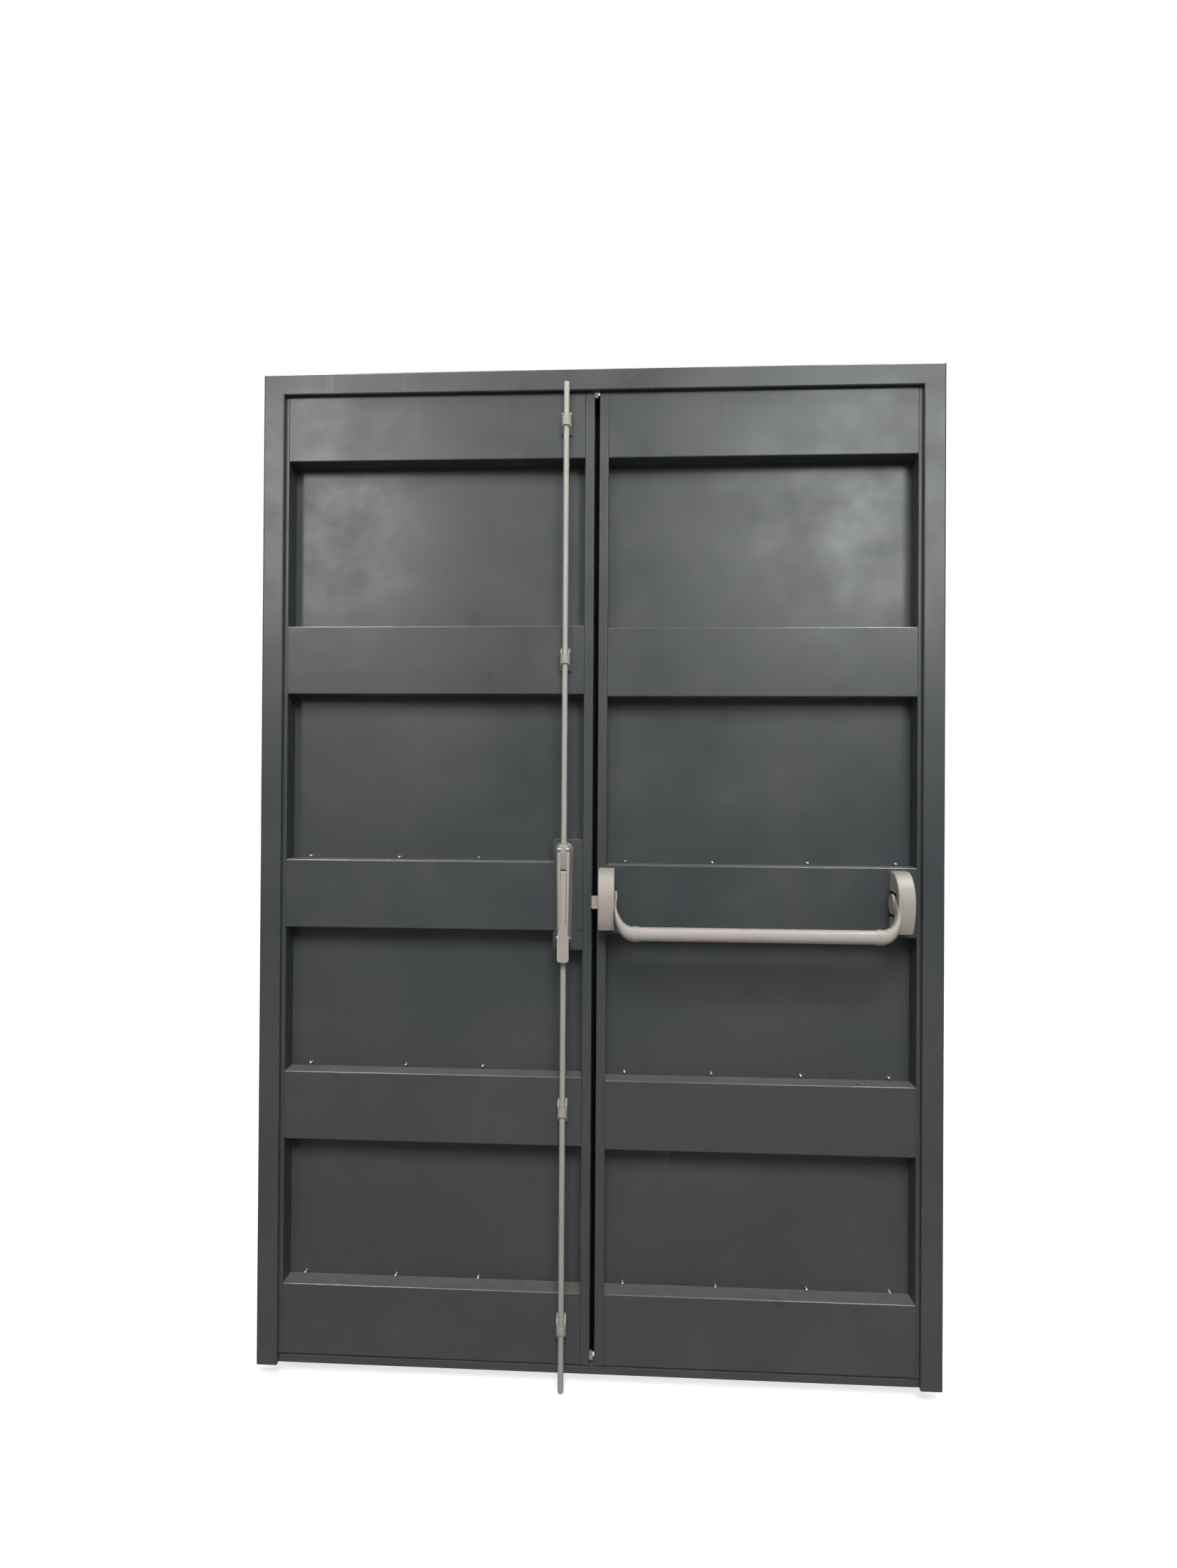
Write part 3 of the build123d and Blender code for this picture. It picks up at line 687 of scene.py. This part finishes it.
class DoorSealSettings(bpy.types.PropertyGroup):
    width: size_setting("Seal width", "Width of the soft seals", 0.008, least=0.002)
    frame_thickness: size_setting(
        "Frame seal thickness",
        "Thickness of the seal pressed between the stop and the leaves",
        0.0019,
        least=0.001,
    )
    meeting_thickness: size_setting(
        "Meeting seal thickness",
        "Thickness of the seal on the inside of the cover strip",
        0.005,
        least=0.001,
    )
    meeting_sink: size_setting(
        "Meeting seal seat", "How far the meeting seal is pressed against the cover strip", 0.0006
    )
    foot_gap: size_setting(
        "Seal end gap", "How far the seals end short of the leaves' feet and tops", 0.0015
    )


class DoorStageSettings(bpy.types.PropertyGroup):
    floor_drop: size_setting(
        "Floor below sill",
        "How far the floor lies under the sill, so that the lower rod's tip clears it",
        0.031,
    )
    key_power: power_setting("Key lamp", "Power of the large lamp above and in front", 300.0)
    edge_power: power_setting(
        "Edge lamps", "Power of each of the two slim lamps overhead that edges reflect", 2400.0
    )
    sheen_power: power_setting(
        "Sheen lamps", "Power of the two lamps in front, left and right, that only shine", 480.0
    )
    back_power: power_setting(
        "Back lamp", "Power of the large lamp on the outside of the door", 90.0
    )
    ambient: share_setting("Room light", "Strength of the even light from all round", 0.08)


class DOOR_OT_finishes(bpy.types.Operator):
    """Make the procedural finishes of the paint, castings, rods, latch, fixings and seals."""

    bl_idname = "door.finishes"
    bl_label = "Finishes"

    def execute(self, context):
        paint = context.scene.door_paint
        tones = [tuple(tone) for tone in (paint.base, paint.light, paint.dust_and_painted_light, paint.ledge)]
        powder_coat("anthracite_coat", *tones, paint.gloss)
        powder_coat("hinge_coat", *tones, paint.gloss - HINGE_SHINE)
        silver_enamel(
            "casting_enamel", linear(152, 148, 141), linear(168, 163, 156), gloss=0.52
        )
        silver_enamel("tube_enamel", linear(160, 152, 148), linear(174, 166, 162), gloss=0.5)
        drawn_metal(
            "rod_silver",
            linear(148, 147, 140),
            linear(164, 163, 156),
            stretch=(1.0, 1.0, 0.02),
            gloss=0.45,
            metallic=0.02,
        )
        drawn_metal(
            "latch_zinc",
            linear(138, 130, 118),
            linear(165, 158, 146),
            stretch=(0.05, 1.0, 1.0),
            gloss=0.4,
            metallic=0.3,
        )
        drawn_metal(
            "screw_zinc",
            linear(78, 75, 72),
            linear(110, 107, 104),
            stretch=(1.0, 1.0, 1.0),
            gloss=0.22,
            metallic=0.1,
            specular=0.5,
        )
        drawn_metal(
            "pin_zinc",
            linear(150, 153, 152),
            linear(186, 188, 186),
            stretch=(1.0, 0.05, 1.0),
            gloss=0.36,
            metallic=0.2,
        )
        moulded_rubber(
            "block_grey", linear(112, 114, 112), linear(140, 142, 138), specular=0.3
        )
        moulded_rubber("seal_rubber", linear(16, 16, 17), linear(27, 27, 28), specular=0.03)
        return {"FINISHED"}


class DOOR_OT_steelwork(bpy.types.Operator):
    """Paint the frame, the leaves, the cover strip and the hinges."""

    bl_idname = "door.steelwork"
    bl_label = "Steelwork"

    def execute(self, context):
        dress([*FRAME_NODES, *LEAF_NODES], "anthracite_coat")
        dress(HINGE_NODES, "hinge_coat")
        dress(["gap_blocks"], "block_grey")
        return {"FINISHED"}


class DOOR_OT_hardware(bpy.types.Operator):
    """Finish the bolt, its rods and guides, the push bar and the latch."""

    bl_idname = "door.hardware"
    bl_label = "Hardware"

    def execute(self, context):
        dress([*CASTING_NODES, *GUIDE_NODES, "bolt_lever"], "casting_enamel")
        dress(["push_bar_tube"], "tube_enamel")
        dress(["top_rod", "bottom_rod"], "rod_silver")
        dress(["latch_bolt"], "latch_zinc")
        return {"FINISHED"}


class DOOR_OT_case_screws(bpy.types.Operator):
    """Set four pan head screws into the bolt case."""

    bl_idname = "door.case_screws"
    bl_label = "Case screws"

    def execute(self, context):
        low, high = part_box("bolt_case")
        middle = (low.x + high.x) / 2
        rows = ((TOP_SCREWS[0], high.z - TOP_SCREWS[1]), (FOOT_SCREWS[0], low.z + FOOT_SCREWS[1]))
        places = [
            (middle + side * reach, low.y + SCREW_SINK, height)
            for side in (-1, 1)
            for reach, height in rows
        ]
        size = context.scene.door_fixings.screw_radius
        screws = grown(
            "case_screws",
            screw_tree(),
            places,
            "screw_zinc",
            Head_radius=size,
            Head_height=size * SCREW_HEIGHT_SHARE,
            Recess_width=size * RECESS_WIDTH_SHARE,
            Direction=(math.pi / 2, 0.0, 0.0),
        )
        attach(screws, "left_leaf")
        return {"FINISHED"}


class DOOR_OT_ledge_pins(bpy.types.Operator):
    """Stand the short pins out of the skin just above the ledges, with rivet heads outside."""

    bl_idname = "door.ledge_pins"
    bl_label = "Ledge pins"

    def execute(self, context):
        tree = pin_tree()
        outer_tree = rivet_tree()
        sizes = context.scene.door_fixings
        for side in ("left", "right"):
            skin, outer = (corner.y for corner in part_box(f"{side}_skin"))
            points = [
                (x, skin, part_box(rail)[1].z + rise)
                for rail, (rise, row) in LEDGE_PINS.items()
                if rail.startswith(side)
                for x in row
            ]
            pins = grown(
                f"{side}_ledge_pins",
                tree,
                points,
                "pin_zinc",
                Radius=sizes.pin_radius,
                Length=sizes.pin_length,
            )
            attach(pins, f"{side}_leaf")
            rivets = grown(
                f"{side}_skin_rivets",
                outer_tree,
                [(x, outer, z) for x, _, z in points],
                "anthracite_coat",
                Radius=sizes.rivet_radius,
                Height=sizes.rivet_radius * RIVET_HEIGHT_SHARE,
            )
            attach(rivets, f"{side}_leaf")
        return {"FINISHED"}


class DOOR_OT_seals(bpy.types.Operator):
    """Lay the soft seals into the frame's rebate and behind the meeting gap."""

    bl_idname = "door.seals"
    bl_label = "Seals"

    def execute(self, context):
        tree = strip_tree()
        sizes = context.scene.door_seals
        leaf_low, leaf_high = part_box("left_hinge_stile")
        foot = leaf_low.z + sizes.foot_gap
        side = (-leaf_low.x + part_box("jamb_right")[0].x) / 2
        top = (leaf_high.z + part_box("head")[0].z) / 2
        back = leaf_low.y - sizes.frame_thickness / 2
        corners = [(-side, back, foot), (-side, back, top), (side, back, top), (side, back, foot)]
        frame_seal = grown(
            "frame_seal",
            tree,
            corners,
            "seal_rubber",
            [(0, 1), (1, 2), (2, 3)],
            Width=sizes.width,
            Thickness=sizes.frame_thickness,
        )
        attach(frame_seal, "frame")
        middle = (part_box("left_lock_stile")[1].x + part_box("right_lock_stile")[0].x) / 2
        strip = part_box("cover_strip")[0].y - sizes.meeting_thickness / 2 + sizes.meeting_sink
        ends = [(middle, strip, foot), (middle, strip, leaf_high.z - sizes.foot_gap)]
        meeting_seal = grown(
            "meeting_seal",
            tree,
            ends,
            "seal_rubber",
            [(0, 1)],
            Width=sizes.width,
            Thickness=sizes.meeting_thickness,
        )
        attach(meeting_seal, "right_leaf")
        return {"FINISHED"}


# The stage


def white_to_eye(tree, seen, unseen):
    """One number for what the eye or a reflection sees, and another for soft light."""
    rays = tree.nodes.new("ShaderNodeLightPath")
    total = rays.outputs["Is Camera Ray"]
    for name in ("Is Glossy Ray", "Is Transmission Ray"):
        join = tree.nodes.new("ShaderNodeMath")
        join.operation = "MAXIMUM"
        tree.links.new(total, join.inputs[0])
        tree.links.new(rays.outputs[name], join.inputs[1])
        total = join.outputs["Value"]
    span = tree.nodes.new("ShaderNodeMapRange")
    span.inputs["To Min"].default_value = unseen
    span.inputs["To Max"].default_value = seen
    tree.links.new(total, span.inputs["Value"])
    return span.outputs["Result"]


def set_camera(scene):
    """The photo's view. The shift is the photo's own framing."""
    view = bpy.data.cameras.new("photo_view")
    view.sensor_fit = "AUTO"
    view.sensor_width = SENSOR
    view.lens = CAMERA_FOCUS * SENSOR / PICTURE_HEIGHT
    view.shift_x = (PICTURE_WIDTH / 2 - CAMERA_MIDDLE) / PICTURE_HEIGHT
    view.clip_end = CAMERA_SIGHT
    eye = bpy.data.objects.new("photo_view", view)
    yaw, pitch, roll = (
        Matrix.Rotation(angle, 3, axis) for angle, axis in zip(CAMERA_TURN, ("Z", "X", "Y"))
    )
    eye.rotation_euler = (roll @ pitch @ yaw @ Matrix.Rotation(math.pi / 2, 3, "X")).to_euler()
    eye.location = CAMERA_PLACE
    scene.collection.objects.link(eye)
    scene.camera = eye
    scene.view_settings.view_transform = "Standard"


def pale_surface():
    """The floor's finish: greyer near the door, white to the eye further out."""
    surface = bpy.data.materials.new("pale_floor")
    surface.use_nodes = True
    tree = surface.node_tree
    shader = tree.nodes["Principled BSDF"]
    shader.inputs["Roughness"].default_value = 0.9
    shader.inputs["Specular IOR Level"].default_value = 0.1
    shader.inputs["Emission Color"].default_value = (*WHITE, 1.0)
    tone = tree.nodes.new("ShaderNodeCombineColor")
    shade = white_to_eye(tree, FLOOR_TONE_SEEN, FLOOR_TONE_UNSEEN)
    for channel in tone.inputs:
        tree.links.new(shade, channel)
    tree.links.new(tone.outputs["Color"], shader.inputs["Base Color"])
    away = tree.nodes.new("ShaderNodeVectorMath")
    away.operation = "LENGTH"
    tree.links.new(tree.nodes.new("ShaderNodeTexCoord").outputs["Object"], away.inputs[0])
    fade = tree.nodes.new("ShaderNodeMapRange")
    for name, number in FLOOR_GLOW:
        fade.inputs[name].default_value = number
    tree.links.new(away.outputs["Value"], fade.inputs["Value"])
    glow = tree.nodes.new("ShaderNodeMath")
    glow.operation = "MULTIPLY"
    tree.links.new(fade.outputs["Result"], glow.inputs[0])
    tree.links.new(white_to_eye(tree, seen=1.0, unseen=0.0), glow.inputs[1])
    tree.links.new(glow.outputs["Value"], shader.inputs["Emission Strength"])
    return surface


def lay_floor(scene, drop):
    mesh = bpy.data.meshes.new("floor")
    corners = [
        (x * FLOOR_REACH, y * FLOOR_REACH, -drop) for x, y in ((-1, -1), (1, -1), (1, 1), (-1, 1))
    ]
    mesh.from_pydata(corners, [], [(0, 1, 2, 3)])
    floor = bpy.data.objects.new("floor", mesh)
    scene.collection.objects.link(floor)
    mesh.materials.append(pale_surface())


def whiten_room(scene, ambient):
    world = bpy.data.worlds.new("white_room")
    world.use_nodes = True
    tree = world.node_tree
    sky = tree.nodes["Background"]
    sky.inputs["Color"].default_value = (*WHITE, 1.0)
    tree.links.new(white_to_eye(tree, seen=1.0, unseen=ambient), sky.inputs["Strength"])
    scene.world = world


def hang_lamp(scene, lamp, power):
    light = bpy.data.lights.new(lamp.name, "AREA")
    light.shape = "RECTANGLE"
    light.size, light.size_y = lamp.size
    light.energy = power
    light.color = lamp.tint
    holder = bpy.data.objects.new(lamp.name, light)
    holder.location = lamp.place
    aim = Vector(LAMP_AIM) - Vector(lamp.place)
    holder.rotation_euler = aim.to_track_quat("-Z", "Y").to_euler()
    scene.collection.objects.link(holder)
    if lamp.passed_by:
        setattr(holder, lamp.passed_by, False)


class DOOR_OT_stage(bpy.types.Operator):
    """Set the camera, the pale floor, the lamps and the white room."""

    bl_idname = "door.stage"
    bl_label = "Stage"

    def execute(self, context):
        scene = context.scene
        settings = scene.door_stage
        set_camera(scene)
        lay_floor(scene, settings.floor_drop)
        whiten_room(scene, settings.ambient)
        for lamp in LAMPS:
            hang_lamp(scene, lamp, getattr(settings, lamp.setting) * lamp.share)
        return {"FINISHED"}


STEPS = ("stage", "finishes", "steelwork", "hardware", "case_screws", "ledge_pins", "seals")


class DOOR_PT_panel(bpy.types.Panel):
    bl_label = "Double escape door"
    bl_space_type = "VIEW_3D"
    bl_region_type = "UI"
    bl_category = "Door"

    def draw(self, context):
        scene = context.scene
        for title, group in (
            ("Paint", scene.door_paint),
            ("Fixings", scene.door_fixings),
            ("Seals", scene.door_seals),
            ("Stage", scene.door_stage),
        ):
            box = self.layout.box()
            box.label(text=title)
            for name in group.__annotations__:
                box.prop(group, name)
        for step in STEPS:
            self.layout.operator(f"door.{step}")


CLASSES = (
    DoorPaintSettings,
    DoorFixingSettings,
    DoorSealSettings,
    DoorStageSettings,
    DOOR_OT_stage,
    DOOR_OT_finishes,
    DOOR_OT_steelwork,
    DOOR_OT_hardware,
    DOOR_OT_case_screws,
    DOOR_OT_ledge_pins,
    DOOR_OT_seals,
    DOOR_PT_panel,
)


def register():
    for cls in CLASSES:
        bpy.utils.register_class(cls)
    bpy.types.Scene.door_paint = bpy.props.PointerProperty(type=DoorPaintSettings)
    bpy.types.Scene.door_fixings = bpy.props.PointerProperty(type=DoorFixingSettings)
    bpy.types.Scene.door_seals = bpy.props.PointerProperty(type=DoorSealSettings)
    bpy.types.Scene.door_stage = bpy.props.PointerProperty(type=DoorStageSettings)


def unregister():
    for name in ("door_paint", "door_fixings", "door_seals", "door_stage"):
        delattr(bpy.types.Scene, name)
    for cls in reversed(CLASSES):
        bpy.utils.unregister_class(cls)


def main():
    register()
    for step in STEPS:
        getattr(bpy.ops.door, step)()


if __name__ == "__main__":
    main()
